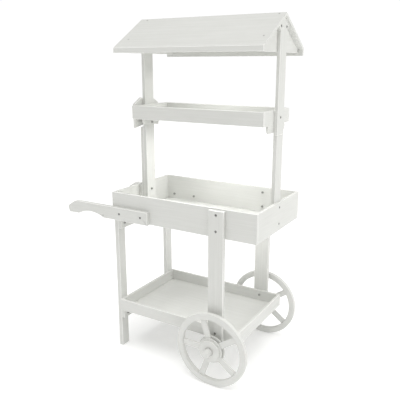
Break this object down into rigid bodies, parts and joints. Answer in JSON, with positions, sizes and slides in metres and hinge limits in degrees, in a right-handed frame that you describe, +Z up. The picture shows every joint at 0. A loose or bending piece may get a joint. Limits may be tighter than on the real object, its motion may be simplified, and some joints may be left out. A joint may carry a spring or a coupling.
{
  "type": "push vending cart",
  "caption": "Painted wooden push cart with an open tray, lower shelf, hanging rack, gable roof on posts, push handles, legs and spoked wheels.",
  "frame": {"origin": "on the ground, under the middle of the whole cart", "axes": "+X along the cart from the handles to the wheels, +Y from the front to the back, +Z up"},
  "size_m": [1.088, 0.708, 1.687],
  "materials": {
    "painted_plywood": "satin white paint on plywood",
    "painted_box_board": "satin white paint on board",
    "painted_roof_trim": "satin white paint on board",
    "painted_roof_panel": "satin white paint on grooved plank panel",
    "painted_handle": "satin white paint, eased edges",
    "painted_rack_board": "satin white paint on board",
    "axle_dowel": "painted dowel",
    "painted_turning": "satin white paint on turned wood",
    "painted_wheel": "satin white paint on cut wood",
    "painted_hub": "satin white paint on cut wood",
    "painted_frame_timber": "satin white paint on planed timber",
    "nut_steel": "zinc plated",
    "bolt_steel": "dark zinc",
    "screw_steel": "zinc plated",
    "nail_heads": "painted over"
  },
  "bodies": {
    "cart": {"tray_front_board": "painted_box_board", "tray_back_board": "painted_box_board", "tray_left_board": "painted_box_board", "tray_right_board": "painted_box_board", "tray_floor": "painted_plywood", "front_handle": "painted_handle", "back_handle": "painted_handle", "left_front_leg": "painted_frame_timber", "left_back_leg": "painted_frame_timber", "upper_rail": "painted_frame_timber", "lower_rail": "painted_frame_timber", "front_wheel_leg": "painted_frame_timber", "back_wheel_leg": "painted_frame_timber", "shelf_front_board": "painted_box_board", "shelf_back_board": "painted_box_board", "shelf_left_board": "painted_box_board", "shelf_right_board": "painted_box_board", "shelf_floor": "painted_plywood", "left_post": "painted_frame_timber", "left_post_doubler": "painted_frame_timber", "left_post_packing": "painted_frame_timber", "right_post_lower": "painted_frame_timber", "right_post_upper": "painted_frame_timber", "rack_front_board": "painted_rack_board", "rack_back_board": "painted_rack_board", "rack_left_end": "painted_rack_board", "rack_right_end": "painted_rack_board", "rack_floor": "painted_plywood", "rack_crest_plate": "painted_rack_board", "rack_bracket": "painted_rack_board", "roof_front_panel": "painted_roof_panel", "roof_back_panel": "painted_roof_panel", "roof_front_fascia": "painted_roof_trim", "roof_back_fascia": "painted_roof_trim", "left_gable": "painted_roof_trim", "right_gable": "painted_roof_trim", "axle": "axle_dowel", "axle_spacers": "painted_turning", "axle_caps": "painted_turning", "cap_pins": "painted_turning", "handle_bolts": "bolt_steel", "wheel_leg_bolts": "bolt_steel", "rail_bolts": "bolt_steel", "left_post_bolts": "bolt_steel", "right_post_bolts": "bolt_steel", "rack_bolts": "bolt_steel", "roof_bolts": "bolt_steel", "nuts": "nut_steel", "wood_screws": "screw_steel", "nails": "nail_heads"},
    "front_wheel": {"front_wheel_rim": "painted_wheel", "front_wheel_spokes": "painted_wheel", "front_hub_back_disc": "painted_hub", "front_hub_front_disc": "painted_hub", "front_hub_outer_disc": "painted_hub"},
    "rear_wheel": {"rear_wheel_rim": "painted_wheel", "rear_wheel_spokes": "painted_wheel", "rear_hub_back_disc": "painted_hub", "rear_hub_front_disc": "painted_hub", "rear_hub_outer_disc": "painted_hub"}
  },
  "joints": [
    {"name": "front_wheel_spin", "type": "hinge", "parent": "cart", "child": "front_wheel", "pos_m": [0.352, -0.297, 0.183], "axis": [0, 1, 0], "continuous": true},
    {"name": "rear_wheel_spin", "type": "hinge", "parent": "cart", "child": "rear_wheel", "pos_m": [0.352, 0.297, 0.183], "axis": [0, 1, 0], "continuous": true}
  ]
}
